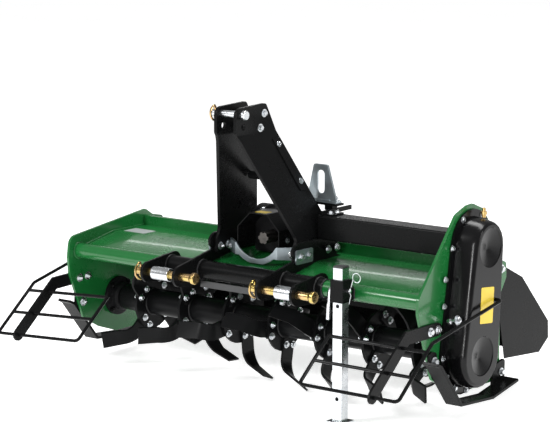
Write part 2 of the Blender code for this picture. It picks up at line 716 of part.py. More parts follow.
def make_rotor():
    stub = INSIDE - 0.004
    left, right = -INSIDE + 0.042, INSIDE - 0.042
    bore, room, cap = 0.006, ROTOR_TUBE_R - 0.010, 0.015
    profile = ((bore, stub), (ROTOR_STUB_R, stub), (ROTOR_STUB_R, right),
               (ROTOR_TUBE_R, right), (ROTOR_TUBE_R, left), (ROTOR_STUB_R, left),
               (ROTOR_STUB_R, -stub), (bore, -stub), (bore, left + cap), (room, left + cap),
               (room, right - cap), (bore, right - cap), (bore, stub))
    tube = turned("tube", profile, "X", (0, ROTOR_Y, ROTOR_Z), 28)
    hand_in(smooth(tube), "rotor_tube", "black", "rotor_carrier")

    stretch = TINE_TIP_R / tip_radius(1)
    for k in range(FLANGE_COUNT):
        x = FLANGE_FIRST_X + k * FLANGE_PITCH
        flange = flat("flange", "YZ", -FLANGE_T / 2, FLANGE_T / 2, circle((0, 0), FLANGE_R, 24),
                      circle((0, 0), ROTOR_TUBE_R + GAP, 28))
        longer = stretch * LEVEL_STRETCH if k == LEVEL_SET else stretch
        blades = []
        for quarter in range(4):
            side = 1 if quarter % 2 == 0 else -1
            blade = tine(side)
            turn = TINE_START + k * TINE_TWIST + quarter * pi / 2
            swing = Matrix.Rotation(-turn, 4, "X") @ Matrix.Diagonal((1, longer, longer, 1))
            blade.data.transform(swing)
            blades.append(blade)
        spider = union(flange, *blades)
        spider.data.transform(Matrix.Translation((x, ROTOR_Y, ROTOR_Z)))
        hand_in(smooth(spider, 30), f"tine_set_{k + 1}", "black", "rotor_carrier")


# --- skids, guards, tailboard and stand -----------------------------------------
def make_skids():
    for side, word in ((1, "chain_side"), (-1, "bearing_side")):
        path = ((0.070, -0.141), (0.088, -0.150), (0.187, -0.270), (0.342, -0.281),
                (0.470, -0.257))
        low, high = sorted((side * OUTSIDE, side * (OUTSIDE + 0.050)))
        runner = flat("runner", "YZ", low, high, strip(path, 0.008))
        tab_low, tab_high = sorted((side * OUTSIDE, side * (OUTSIDE + 0.008)))
        front = flat("tab", "YZ", tab_low, tab_high, rounded((
            (0.090, -0.1545, 0), (0.124, -0.196, 0), (0.126, -0.128, 0.012),
            (0.092, -0.116, 0.014))))
        rear = flat("tab", "YZ", tab_low, tab_high, rounded((
            (0.404, -0.2725, 0), (0.466, -0.2605, 0), (0.466, -0.205, 0.008),
            (0.404, -0.216, 0.012))))
        hand_in(union(runner, front, rear), f"skid_{word}", "black")


def make_guards():
    for side, word in ((1, "chain_side"), (-1, "bearing_side")):
        low, high = sorted((side * OUTSIDE, side * (OUTSIDE + 0.007)))
        back, down, droop = GUARD_SET[word]
        rods = [(y + back, z - down) for y, z in GUARD_RODS]
        path = ((0.132 + back / 2, -0.066 - down * 0.6), (-0.010 + back, -0.064 - down), rods[2])
        holes = [circle(place, GUARD_WIRE_R + GAP, 12) for place in rods]
        arm = flat("arm", "YZ", low, high, bar(path, 0.036), *holes)
        hand_in(arm, f"guard_arm_{word}", "black")

        out_x, in_x = side * GUARD_OUT_X, side * GUARD_IN_X
        across = Vector((1, 0, -side * droop))       # a drooping guard is low at its outer end
        top, middle, bottom = [Vector((0, y, z + droop * (SIDE_X + 0.0035))) for y, z in rods]
        foot_y, foot_z = 0.320, -0.010
        foot_x = CHAIN_COVER_X if side > 0 else SIDE_X
        foot = (side * (foot_x + 0.0006), foot_y, foot_z)
        lift = (top - bottom).normalized() * 0.030
        route = [foot, (out_x, foot_y, foot_z), top + across * out_x + lift,
                 bottom + across * out_x, bottom + across * in_x,
                 top + across * in_x + lift * 0.1]
        frame = wire("guard", bend(route, 0.012), GUARD_WIRE_R)
        rungs = [wire("rung", [place + across * (in_x - side * 0.002),
                               place + across * (out_x + side * 0.002)], GUARD_WIRE_R * 0.96)
                 for place in (top, middle)]
        hand_in(smooth(union(frame, *rungs)), f"guard_wire_{word}", "black")


def make_tailboard():
    half, sheet = 0.603, 0.0018
    rear = ((0.586, 0.000), (0.7325, -0.149), (0.7355, -0.198), (0.686, -0.232))
    front = (0.499, -0.216)
    ear = arc((HINGE_Y, HINGE_Z), 0.016, 200, 62, 7)
    side_view = ear + list(rear) + [front]
    body = flat("wings", "YZ", -half, half, side_view, circle((HINGE_Y, HINGE_Z), 0.0085, 16))
    skin = [(0.440, 0.080), (0.474, 0.060), (0.474, 0.0503)]
    for (y, z), (dy, dz) in zip(rear, ((-0.0007, -0.0023), (-0.002, -0.0008),
                                       (-0.002, 0.0007), (-0.0007, 0.0023))):
        skin.append((y + dy, z + dz))
    skin += [(0.6815, -0.2297), (0.660, -0.300), (0.420, -0.300), (0.420, 0.080)]
    body = cut(body, flat("inside", "YZ", -half + sheet, half - sheet, skin))
    hand_in(body, "tailboard", "black", "tailboard_carrier")


def make_stand():
    half, wall = STAND_SIZE / 2, 0.004
    square = ((-1, -1), (1, -1), (1, 1), (-1, 1))
    outside = [(STAND_X + half * x, STAND_Y + half * y) for x, y in square]
    inside = [(STAND_X + (half - wall) * x, STAND_Y + (half - wall) * y) for x, y in square]
    plate_top = GROUND_Z + 0.006
    tube = flat("tube", "XY", plate_top - 0.001, STAND_TOP, outside, inside)
    foot = box("foot", (STAND_X - STAND_FOOT, STAND_Y - STAND_FOOT, GROUND_Z),
               (STAND_X + STAND_FOOT, STAND_Y + STAND_FOOT, plate_top))
    leg = union(tube, foot)
    for z in (-0.020, -0.272):
        leg = cut(leg, rod("hole", 0.0055, "Y", -0.05, 0.0, (STAND_X, STAND_Y, z), 12))
    hand_in(leg, "parking_stand", "zinc", "stand_carrier")

    reach, clear = 0.0205, half + 0.0007
    ring = [(STAND_X + reach * x, STAND_Y + reach * y) for x, y in square]
    bore = [(STAND_X + clear * x, STAND_Y + clear * y) for x, y in square]
    socket = flat("socket", "XY", -0.010, 0.050, ring, bore)
    web = box("web", (STAND_X - 0.018, STAND_Y + reach - 0.002, -0.009),
              (STAND_X + 0.018, TUBE_Y - TUBE_R - GAP, 0.028))
    hand_in(union(socket, web), "stand_socket", "black")

    pin_x = STAND_X - reach - GAP
    route = ((pin_x, STAND_Y, 0.022), (pin_x - 0.016, STAND_Y, 0.022),
             (pin_x - 0.016, STAND_Y - 0.006, -0.062))
    hand_in(smooth(wire("pin", bend(route, 0.010), 0.0055)), "stand_pin", "zinc")


# --- assembly -------------------------------------------------------------------
def main():
    for obj in list(bpy.data.objects):
        bpy.data.objects.remove(obj)
    collection(COLLECTION)
    collection(CUTTERS)
    add_carrier("frame_origin", (0, 0, 0))
    add_carrier("rotor_carrier", (0, ROTOR_Y, ROTOR_Z), "frame_origin")
    add_carrier("pto_carrier", (0, PTO_END_Y, PTO_Z), "frame_origin")
    add_carrier("tailboard_carrier", (0, HINGE_Y, HINGE_Z), "frame_origin")
    add_carrier("stand_carrier", (STAND_X, STAND_Y, 0), "frame_origin")
    make_side_plates()
    make_frame()
    make_hitch()
    make_mast()
    make_gearbox()
    make_drive_brackets()
    make_chain_case()
    make_rotor_bearings()
    make_rotor()
    make_skids()
    make_guards()
    make_tailboard()
    make_stand()
    bpy.context.view_layer.update()


main()
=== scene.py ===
"""Looks for the rotary tiller: finished skins over the CAD nodes, hardware, welds, blank
plates, a pale floor, soft light and the camera. Metres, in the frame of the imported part.
"""
import json
import random
from math import cos, pi, radians, sin

import bmesh
import bpy
from mathutils import Matrix, Vector


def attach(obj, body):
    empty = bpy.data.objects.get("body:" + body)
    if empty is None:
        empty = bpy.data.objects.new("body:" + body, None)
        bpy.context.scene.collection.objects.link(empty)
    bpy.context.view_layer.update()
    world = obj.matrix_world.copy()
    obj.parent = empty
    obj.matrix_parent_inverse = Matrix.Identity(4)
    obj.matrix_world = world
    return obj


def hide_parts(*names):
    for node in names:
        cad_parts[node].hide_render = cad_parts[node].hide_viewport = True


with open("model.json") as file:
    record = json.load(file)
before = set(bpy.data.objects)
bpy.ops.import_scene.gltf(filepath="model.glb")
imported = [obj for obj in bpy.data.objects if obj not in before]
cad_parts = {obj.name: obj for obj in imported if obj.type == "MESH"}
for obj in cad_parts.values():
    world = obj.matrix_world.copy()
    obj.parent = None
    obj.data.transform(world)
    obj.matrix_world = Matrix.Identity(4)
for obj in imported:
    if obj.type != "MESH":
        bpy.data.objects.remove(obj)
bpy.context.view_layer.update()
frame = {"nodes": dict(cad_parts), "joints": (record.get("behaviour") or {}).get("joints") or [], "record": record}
NODES = frame["nodes"]
RECORD = frame["record"]
BODY_OF = {node: body for body, group in RECORD["behaviour"]["bodies"].items() for node in group}
SLOT_OF = {row["node"]: row["material_slot"] for row in RECORD["subparts"]}
JOINTS = {joint["name"]: Vector(joint["pos_m"]) for joint in frame["joints"]}
SIDES = (1, -1)                       # +X chain side, -X bearing side

# --- places in the hitch frame, whose origin is midway between the lower hitch pins ----
ROTOR_Y, ROTOR_Z = 0.264, -0.155
LIFT = JOINTS["rotor_spin"].z - ROTOR_Z
SHIFT = JOINTS["rotor_spin"].y - ROTOR_Y
PLATE_X = 0.6175                      # outer face of the side plates
PLATE_IN = 0.6095                     # inner face of the side plates
FLANGE_X = 0.6238                     # outer face of the chain case's flange
NUT_X = 0.6093                        # where nuts sit inside the side plates
GUARD_BOLT_X, SKID_BOLT_X = 0.6250, 0.6260   # outer faces of the guard arms and skid tabs
BEARING_NUT_X = 0.5992                # inner face of the rotor bearings' flanges
COVER_X = 0.683                       # outer face of the chain case
TUBE_Y, TUBE_Z, TUBE_R, SLEEVE_R = 0.098, 0.006, 0.022, 0.0265
SLEEVE_X = 0.285
HITCH_X = {"inner": 0.145, "outer": 0.260}
HITCH_HALF = 0.004
DECK_TOP = 0.042
PTO_Z = 0.097
GEARBOX_TOP = 0.162
MAST_OUT, MAST_IN = 0.039, 0.029        # faces of the upright top of a mast plate
MAST_LOW_X, MAST_LOW_Z, MAST_HIGH_Z = 0.1407, 0.108, 0.400   # outer face where it leans
STAND_X, STAND_Y, STAND_HALF, STAND_TOP = 0.375, 0.042, 0.015, 0.083
FLANGES = [-0.467 + 0.1625 * k for k in range(7)]
TINE_START, TINE_TWIST = radians(-40.0), radians(16.4)


def at(x, y, z):
    """A place in the hitch frame, as a place in the part's own frame."""
    return Vector((x, y + SHIFT, z + LIFT))


def deck_height(y):
    """Top of the deck's front panel and flat top."""
    slope_start, slope_end, low = 0.1235, 0.245, 0.0185
    if y >= slope_end:
        return DECK_TOP
    return low + (y - slope_start) * (DECK_TOP - low) / (slope_end - slope_start)


# --- materials ------------------------------------------------------------------------
class Graph:
    """A short way to write a material's nodes."""

    def __init__(self, name):
        self.material = bpy.data.materials.new(name)
        self.material.use_nodes = True
        self.tree = self.material.node_tree
        self.shader = self.tree.nodes["Principled BSDF"]
        self.place = self.add("ShaderNodeTexCoord").outputs["Object"]

    def add(self, kind, **values):
        node = self.tree.nodes.new(kind)
        for key, value in values.items():
            setattr(node, key, value)
        return node

    def wire(self, source, target):
        self.tree.links.new(source, target)

    def noise(self, scale, detail=3.0, rough=0.55, stretch=None):
        node = self.add("ShaderNodeTexNoise")
        node.inputs["Scale"].default_value = scale
        node.inputs["Detail"].default_value = detail
        node.inputs["Roughness"].default_value = rough
        source = self.place
        if stretch:
            mapping = self.add("ShaderNodeMapping")
            mapping.inputs["Scale"].default_value = stretch
            self.wire(self.place, mapping.inputs["Vector"])
            source = mapping.outputs["Vector"]
        self.wire(source, node.inputs["Vector"])
        return node.outputs["Fac"]

    def cells(self, scale, feature="F1"):
        node = self.add("ShaderNodeTexVoronoi", feature=feature)
        node.inputs["Scale"].default_value = scale
        self.wire(self.place, node.inputs["Vector"])
        return node.outputs

    def remap(self, value, low, high, to_low, to_high):
        node = self.add("ShaderNodeMapRange")
        node.inputs["From Min"].default_value = low
        node.inputs["From Max"].default_value = high
        node.inputs["To Min"].default_value = to_low
        node.inputs["To Max"].default_value = to_high
        self.wire(value, node.inputs["Value"])
        return node.outputs["Result"]

    def maths(self, operation, first, second):
        node = self.add("ShaderNodeMath", operation=operation)
        for socket, value in zip(node.inputs, (first, second)):
            if isinstance(value, (int, float)):
                socket.default_value = value
            else:
                self.wire(value, socket)
        return node.outputs["Value"]

    def mix(self, share, first, second):
        node = self.add("ShaderNodeMix", data_type="RGBA")
        self.wire(share, node.inputs["Factor"])
        for socket, value in ((node.inputs[6], first), (node.inputs[7], second)):
            if isinstance(value, tuple):
                socket.default_value = (*value, 1.0)
            else:
                self.wire(value, socket)
        return node.outputs[2]

    def edge(self, radius, low=0.10, high=0.45):
        """Near 1 on sharp outer edges and 0 on flat ground."""
        bevel = self.add("ShaderNodeBevel", samples=4)
        bevel.inputs["Radius"].default_value = radius
        geometry = self.add("ShaderNodeNewGeometry")
        dot = self.add("ShaderNodeVectorMath", operation="DOT_PRODUCT")
        self.wire(bevel.outputs["Normal"], dot.inputs[0])
        self.wire(geometry.outputs["Normal"], dot.inputs[1])
        return self.remap(dot.outputs["Value"], 1.0 - low * 0.2, 1.0 - high, 0.0, 1.0)

    def upward(self):
        """1 where the surface faces up, 0 where it stands upright or faces down."""
        geometry = self.add("ShaderNodeNewGeometry")
        split = self.add("ShaderNodeSeparateXYZ")
        self.wire(geometry.outputs["Normal"], split.inputs["Vector"])
        return self.remap(split.outputs["Z"], 0.35, 1.0, 0.0, 1.0)

    def relief(self, height, strength, depth, before=None):
        node = self.add("ShaderNodeBump")
        node.inputs["Strength"].default_value = strength
        node.inputs["Distance"].default_value = depth
        self.wire(height, node.inputs["Height"])
        if before:
            self.wire(before, node.inputs["Normal"])
        return node.outputs["Normal"]

    def finish(self, colour, rough, normal=None, metallic=0.0, coat=0.0, gloss=0.5):
        inputs = self.shader.inputs
        self.wire(colour, inputs["Base Color"])
        self.wire(rough, inputs["Roughness"])
        inputs["Metallic"].default_value = metallic
        inputs["Coat Weight"].default_value = coat
        inputs["Coat Roughness"].default_value = 0.06
        inputs["Specular IOR Level"].default_value = gloss
        if normal:
            self.wire(normal, inputs["Normal"])
        return self.material


def paint(name, colour, rough, coat, dust=0.0, peel=0.12, wear=0.35, gloss=0.5,
          bare=(0.30, 0.29, 0.27)):
    """Sprayed paint: cloudy tone, orange peel, thin dust on top and rubbed edges."""
    g = Graph(name)
    cloud = g.remap(g.noise(7.0, 4.0), 0.30, 0.70, 0.0, 1.0)
    darker = tuple(c * 0.90 for c in colour)
    lighter = tuple(min(1.0, c * 1.08) for c in colour)
    base = g.mix(cloud, darker, lighter)
    grime = g.remap(g.noise(38.0, 6.0, 0.7), 0.55, 0.80, 0.0, 0.16)
    base = g.mix(grime, base, tuple(c * 0.62 for c in colour))
    if dust:
        layer = g.maths("MULTIPLY", g.upward(), g.remap(g.noise(22.0, 5.0), 0.35, 0.75, 0.2, 1.0))
        base = g.mix(g.maths("MULTIPLY", layer, dust), base, (0.42, 0.40, 0.36))
    rubbed = g.maths("MULTIPLY", g.edge(0.0016), g.remap(g.noise(85.0, 5.0, 0.7), 0.50, 0.66, 0, 1))
    base = g.mix(g.maths("MULTIPLY", rubbed, wear), base, bare)
    speck = g.noise(260.0, 2.0)
    roughness = g.remap(g.maths("ADD", speck, cloud), 0.3, 1.7, rough - 0.05, rough + 0.09)
    skin = g.relief(g.noise(420.0, 2.0), peel, 0.0003)
    skin = g.relief(g.noise(26.0, 2.0), peel * 0.35, 0.0008, skin)
    return g.finish(base, roughness, skin, 0.0, coat, gloss)


def plated(name, colour, second, rough, spangle=90.0, scratch=0.10, stain=(0.30, 0.26, 0.20)):
    """Plated or galvanised steel: crystals, a drift of tint, fine scratches and stains."""
    g = Graph(name)
    crystal = g.cells(spangle)
    tint = g.remap(g.noise(26.0, 4.0), 0.35, 0.68, 0.0, 1.0)
    base = g.mix(tint, colour, second)
    shade = g.remap(crystal["Distance"], 0.0, 0.8, 0.0, 0.28)
    base = g.mix(shade, base, tuple(c * 0.66 for c in colour))
    spots = g.remap(g.noise(120.0, 6.0, 0.75), 0.60, 0.78, 0.0, 0.4)
    base = g.mix(spots, base, stain)
    lines = g.noise(300.0, 2.0, 0.5, (1.0, 0.12, 1.0))
    roughness = g.remap(g.maths("ADD", lines, tint), 0.4, 1.6, rough - 0.08, rough + 0.12)
    skin = g.relief(lines, scratch, 0.0003)
    skin = g.relief(g.noise(55.0, 4.0), scratch, 0.0008, skin)
    return g.finish(base, roughness, skin, 1.0)


def casting(name, colour, rough):
    """Painted cast iron: a coarse sandy skin under satin paint."""
    g = Graph(name)
    cloud = g.remap(g.noise(16.0, 5.0), 0.3, 0.7, 0.0, 1.0)
    base = g.mix(cloud, tuple(c * 0.75 for c in colour), tuple(c * 1.3 for c in colour))
    rubbed = g.maths("MULTIPLY", g.edge(0.002), g.remap(g.noise(70.0, 5.0), 0.5, 0.7, 0.0, 0.5))
    base = g.mix(rubbed, base, (0.20, 0.19, 0.18))
    grit = g.noise(520.0, 3.0, 0.7)
    roughness = g.remap(grit, 0.3, 0.7, rough - 0.05, rough + 0.10)
    skin = g.relief(grit, 0.45, 0.0006)
    skin = g.relief(g.noise(60.0, 4.0), 0.35, 0.0015, skin)
    return g.finish(base, roughness, skin, 0.0, 0.0, 0.12)


def bead(name, colour, rough):
    """A painted weld, with ripples and small spatter."""
    g = Graph(name)
    patch = g.remap(g.noise(150.0, 4.0), 0.35, 0.7, 0.0, 1.0)
    base = g.mix(patch, tuple(c * 0.7 for c in colour), tuple(min(1.0, c * 1.25) for c in colour))
    roughness = g.remap(patch, 0.0, 1.0, rough - 0.04, rough + 0.1)
    return g.finish(base, roughness, g.relief(g.noise(700.0, 3.0), 0.4, 0.0004), 0.0, 0.1, 0.4)


def film(name, colour, rough):
    """A printed film: even colour, slight fading and a few scuffs."""
    g = Graph(name)
    fade = g.remap(g.noise(30.0, 4.0), 0.3, 0.7, 0.0, 1.0)
    base = g.mix(fade, colour, tuple(min(1.0, c * 0.88 + 0.03) for c in colour))
    scuff = g.remap(g.noise(210.0, 5.0, 0.7), 0.62, 0.8, 0.0, 0.5)
    base = g.mix(scuff, base, tuple(c * 0.55 for c in colour))
    roughness = g.remap(fade, 0.0, 1.0, rough - 0.04, rough + 0.08)
    return g.finish(base, roughness, g.relief(g.noise(350.0, 2.0), 0.06, 0.0003), 0.0, 0.25)


GREEN = (0.008, 0.125, 0.026)
BLACK = (0.0050, 0.0052, 0.0054)
LOOKS = {
    "green_paint": paint("green_gloss", GREEN, 0.24, 0.35, dust=0.0, peel=0.05, wear=0.10,
                         gloss=0.4),
    "black_paint": paint("black_satin", BLACK, 0.26, 0.0, dust=0.003, peel=0.07, wear=0.08,
                         gloss=0.09),
    "gloss_black_paint": paint("black_gloss", (0.004, 0.004, 0.0044), 0.16, 0.0, peel=0.05,
                               wear=0.08, gloss=0.22),
    "cast_housing": casting("cast_black", (0.007, 0.007, 0.0076), 0.46),
    "zinc": plated("zinc", (0.78, 0.80, 0.82), (0.66, 0.69, 0.72), 0.26),
    "yellow_zinc": plated("yellow_zinc", (0.66, 0.50, 0.15), (0.62, 0.38, 0.24), 0.24, 60.0),
    "galvanised": plated("galvanised", (0.46, 0.52, 0.55), (0.36, 0.42, 0.46), 0.42, 45.0),
    "spline_steel": plated("machined_steel", (0.15, 0.14, 0.13), (0.10, 0.095, 0.09), 0.38, 200.0),
    "breather_brass": plated("breather_brass", (0.70, 0.50, 0.20), (0.60, 0.40, 0.16), 0.30),
}
ROTOR_PAINT = paint("rotor_black", (0.0060, 0.0062, 0.0066), 0.30, 0.0, peel=0.12, wear=0.4,
                    gloss=0.09, bare=(0.20, 0.19, 0.17))
WELD_GREEN = bead("weld_green", GREEN, 0.34)
WELD_BLACK = bead("weld_black", (0.010, 0.010, 0.011), 0.40)
YELLOW_FILM = film("yellow_label", (0.78, 0.56, 0.008), 0.40)
SILVER_FILM = film("plain_nameplate", (0.40, 0.42, 0.43), 0.36)
DARK_RUBBER = film("dark_cap", (0.012, 0.012, 0.012), 0.6)
BAR_GREY = paint("bar_grey", (0.030, 0.031, 0.032), 0.34, 0.0)


# --- pieces over the CAD nodes --------------------------------------------------------
def settle(obj, name, body, look, angle=38):
    """Smooth a new piece, give it its look and let it ride on its body."""
    obj.name = name
    obj.data.name = name
    obj.data.materials.clear()
    obj.data.materials.append(look)
    obj.data.shade_smooth()
    obj.data.set_sharp_from_angle(angle=radians(angle))
    weighted = obj.modifiers.new("even", "WEIGHTED_NORMAL")
    weighted.keep_sharp = True
    weighted.weight = 100
    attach(obj, body)
    return obj


def new_piece(shape, name, body, look, angle=38):
    bmesh.ops.recalc_face_normals(shape, faces=shape.faces)
    mesh = bpy.data.meshes.new(name)
    shape.to_mesh(mesh)
    shape.free()
    obj = bpy.data.objects.new(name, mesh)
    bpy.context.scene.collection.objects.link(obj)
    return settle(obj, name, body, look, angle)


def skin(node, bevel, look=None, crease=32):
    """A copy of a CAD node with merged flats and softened edges, shown in its place."""
    shape = bmesh.new()
    shape.from_mesh(NODES[node].data)
    bmesh.ops.remove_doubles(shape, verts=shape.verts, dist=0.00002)
    bmesh.ops.dissolve_limit(shape, angle_limit=radians(1.0), verts=shape.verts,
                             edges=shape.edges, use_dissolve_boundaries=False)
    sharp = [e for e in shape.edges
             if len(e.link_faces) == 2 and e.calc_face_angle() > radians(crease)]
    if bevel:
        bmesh.ops.bevel(shape, geom=sharp, offset=bevel, segments=2, profile=0.6,
                        affect="EDGES", clamp_overlap=True, loop_slide=True)
    look = look or LOOKS[SLOT_OF[node]]
    obj = new_piece(shape, node + "_skin", BODY_OF[node], look)
    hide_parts(node)
    return obj


def make_skins():
    soft = {"gearbox": 0.0018, "chain_case": 0.0010, "driveline_cradle": 0.0012,
            "cross_shaft_housing": 0.0010, "tailboard": 0.0004, "pto_guard": 0.0006,
            "deck_hood": 0.0006}
    plain = ("guard_wire", "linch_pin", "stand_pin")
    for node in sorted(NODES):
        look = ROTOR_PAINT if BODY_OF[node] == "rotor" else None
        amount = 0.0 if any(word in node for word in plain) else soft.get(node, 0.0008)
        skin(node, amount, look)


# --- small solids ---------------------------------------------------------------------
def lathe(shape, place, profile, steps=20):
    """Add a solid of revolution about local Z; profile is (radius, height) from foot to top."""
    rings = []
    for radius, height in profile:
        count = steps if radius > 0 else 1
        turns = [2 * pi * i / steps for i in range(count)]
        rings.append([shape.verts.new(place @ Vector((radius * cos(a), radius * sin(a), height)))
                      for a in turns])
    for low, high in zip(rings, rings[1:]):
        for i in range(steps):
            j = (i + 1) % steps
            ring = [low[i % len(low)], low[j % len(low)], high[j % len(high)], high[i % len(high)]]
            face = list(dict.fromkeys(ring))
            if len(face) > 2:
                shape.faces.new(face)


def stand_on(place, normal, spin=0.0):
    """A matrix whose local Z stands along a surface's normal."""
    turn = Vector(normal).to_track_quat("Z", "Y").to_matrix().to_4x4()
    return Matrix.Translation(place) @ turn @ Matrix.Rotation(spin, 4, "Z")


def add_bolt(shape, place, normal, across=0.013, tail=0.0, washer=True):
    """A hexagon head or nut with a washer, and a screw end if it has a tail."""
    spin = (place.x * 37 + place.y * 53 + place.z * 71) % 1.0
    here = stand_on(place, normal, spin)
    half, rise = across / 3 ** 0.5, across * 0.50
    lift = 0.0
    if washer:
        lift = across * 0.12
        edge = across * 0.88
        lathe(shape, here, ((0, -0.0002), (edge, -0.0002), (edge, lift * 0.8),
                            (edge * 0.97, lift), (0, lift)), 20)
    lathe(shape, here, ((0, lift), (half * 0.96, lift), (half, lift + rise * 0.08),
                        (half, lift + rise * 0.84), (half * 0.86, lift + rise),
                        (half * 0.62, lift + rise), (half * 0.56, lift + rise * 0.93),
                        (0, lift + rise * 0.93)), 6)
    if tail:
        radius = across * 0.30
        top = lift + rise + tail
        ridges = [(radius * (0.90 if k % 2 else 1.0), lift + rise * 0.8 + k * 0.0008)
                  for k in range(int((tail + rise * 0.2) / 0.0008))]
        lathe(shape, here, ((0, lift), (radius, lift)) + tuple(ridges)
              + ((radius * 0.8, top), (0, top)), 12)


def bolts(name, rows, look="zinc", body="frame"):
    """One piece holding every bolt of a group; each row is add_bolt's arguments."""
    shape = bmesh.new()
    for row in rows:
        add_bolt(shape, *row)
    return new_piece(shape, name, body, LOOKS[look], 28)


def sweep(shape, points, radius_of, sides=8, closed=False):
    """Add a tube along points; radius_of gives its radius at each point's index."""
    count = len(points)
    rings = []
    up = Vector((0.13, 0.21, 0.97))
    for i, point in enumerate(points):
        before = points[i - 1] if closed or i else point
        after = points[(i + 1) % count] if closed or i < count - 1 else point
        along = (after - before).normalized()
        side = along.cross(up)
        if side.length < 0.1:
            side = along.cross(Vector((1, 0, 0)))
        side.normalize()
        over = side.cross(along)
        radius = radius_of(i)
        rings.append([shape.verts.new(point + (side * cos(a) + over * sin(a)) * radius)
                      for a in [2 * pi * k / sides for k in range(sides)]])
    pairs = list(zip(rings, rings[1:])) + ([(rings[-1], rings[0])] if closed else [])
    for low, high in pairs:
        for k in range(sides):
            m = (k + 1) % sides
            shape.faces.new((low[k], low[m], high[m], high[k]))
    if not closed:
        shape.faces.new(list(reversed(rings[0])))
        shape.faces.new(rings[-1])


def resample(points, step):
    """The same path with a point every step."""
    out = [points[0]]
    for start, end in zip(points, points[1:]):
        pieces = max(1, round((end - start).length / step))
        out += [start.lerp(end, k / pieces) for k in range(1, pieces + 1)]
    return out


def add_weld(shape, points, radius=0.0026, draw=random.Random(11)):
    """A rippled bead along a path."""
    path = resample(points, 0.0012)
    phase = draw.random() * pi
    swell = [draw.uniform(0.9, 1.1) for _ in range(len(path) // 9 + 2)]

    def thick(i):
        ripple = abs(sin(phase + i * 0.0012 * pi / 0.0036))
        return radius * swell[i // 9] * (0.80 + 0.26 * ripple)

    sweep(shape, path, thick, 7)


def arc_points(x, centre, radius, start, end, steps=24):
    """Points of an arc in a plane of constant X; angles in degrees from +Y towards +Z."""
    turns = [radians(start + (end - start) * i / steps) for i in range(steps + 1)]
    return [at(x, centre[0] + radius * cos(a), centre[1] + radius * sin(a)) for a in turns]


def plate(shape, corners, thickness, normal):
    """A thin sheet on four or more corners, raised along the normal."""
    rise = Vector(normal) * thickness
    low = [shape.verts.new(c) for c in corners]
    high = [shape.verts.new(c + rise) for c in corners]
    shape.faces.new(list(reversed(low)))
    shape.faces.new(high)
    for i in range(len(low)):
        j = (i + 1) % len(low)
        shape.faces.new((low[i], low[j], high[j], high[i]))


def rounded_corners(corners, radius, steps=4):
    """The corners of a flat outline, each replaced by a short arc."""
    out = []
    for i, corner in enumerate(corners):
        back = (corners[i - 1] - corner).normalized() * radius
        ahead = (corners[(i + 1) % len(corners)] - corner).normalized() * radius
        for k in range(steps + 1):
            t = k / steps
            out.append(corner + back * (1 - t) ** 2 + ahead * t ** 2)
    return out


# --- hardware -------------------------------------------------------------------------
def chain_case_bolts():
    front = ((0.243, 0.209), (0.195, 0.139), (0.163, 0.061), (0.159, -0.010), (0.157, -0.150),
             (0.175, -0.200), (0.217, -0.241), (0.272, -0.257))
    rear = ((0.336, 0.212), (0.379, 0.150), (0.374, 0.070), (0.368, -0.005), (0.362, -0.080),
            (0.354, -0.150), (0.340, -0.208), (0.312, -0.243))
    rows = [(at(FLANGE_X, y, z), (1, 0, 0), 0.010) for y, z in front + rear]
    bolts("chain_case_bolts", rows)
    nuts = [(at(NUT_X, y, z), (-1, 0, 0), 0.010, 0.003) for y, z in front + rear
            if (y, z) not in ((0.243, 0.209), (0.336, 0.212))]
    bolts("chain_case_nuts", nuts)


def tensioner():
    """The chain tensioner: a zinc screw that leans out of the front edge of the case."""
    head, tail = at(0.662, 0.164, -0.042), at(0.630, 0.166, -0.050)
    shape = bmesh.new()
    lean = (head - tail).normalized()
    add_bolt(shape, head, lean, 0.015)
    here = stand_on(tail, lean)
    length = (head - tail).length
    lathe(shape, here, ((0, 0), (0.0045, 0), (0.0045, length), (0, length)), 14)
    add_bolt(shape, tail + lean * 0.006, lean, 0.015, 0.0, False)
    new_piece(shape, "chain_tensioner", "frame", LOOKS["zinc"], 28)


GUARD_ARM_BOLTS = {1: ((0.129, -0.066), (0.094, -0.067)),
                   -1: ((0.133, -0.075), (0.099, -0.0765))}
SKID_BOLT = (0.113, -0.150)
BEARING_CIRCLE = 0.050                # radius of the rotor bearings' bolt circle


def guard_and_skid_bolts():
    rows, nuts, bearing_nuts = [], [], []
    for side in SIDES:
        out = (side, 0, 0)
        for y, z in GUARD_ARM_BOLTS[side]:
            rows.append((at(side * GUARD_BOLT_X, y, z), out, 0.014))
            nuts.append((at(side * NUT_X, y, z), (-side, 0, 0), 0.014, 0.004))
        rows.append((at(side * SKID_BOLT_X, *SKID_BOLT), out, 0.016))
        nuts.append((at(side * NUT_X, *SKID_BOLT), (-side, 0, 0), 0.015, 0.004))
        rows.append((at(side * SKID_BOLT_X, 0.447, -0.240), out, 0.013))
        for turn in (45, 135, 225, 315):
            y = ROTOR_Y + BEARING_CIRCLE * cos(radians(turn))
            z = ROTOR_Z + BEARING_CIRCLE * sin(radians(turn))
            bearing_nuts.append((at(side * BEARING_NUT_X, y, z), (-side, 0, 0), 0.012, 0.003))
            if side < 0:
                rows.append((at(side * PLATE_X, y, z), out, 0.012))
        if side < 0:
            for y, z in ((0.190, 0.020), (0.190, -0.030), (0.330, -0.020)):
                rows.append((at(side * PLATE_X, y, z), out, 0.011))
                nuts.append((at(side * NUT_X, y, z), (-side, 0, 0), 0.011, 0.003))
    bolts("side_bolts", rows)
    bolts("side_nuts", nuts)
    bolts("bearing_nuts", bearing_nuts, "black_paint")


MAST_BOLTS = ((0.143, 0.456), (0.126, 0.417))
CRADLE_TAB = 0.005                    # thickness of the cradle's ends on the hitch plates


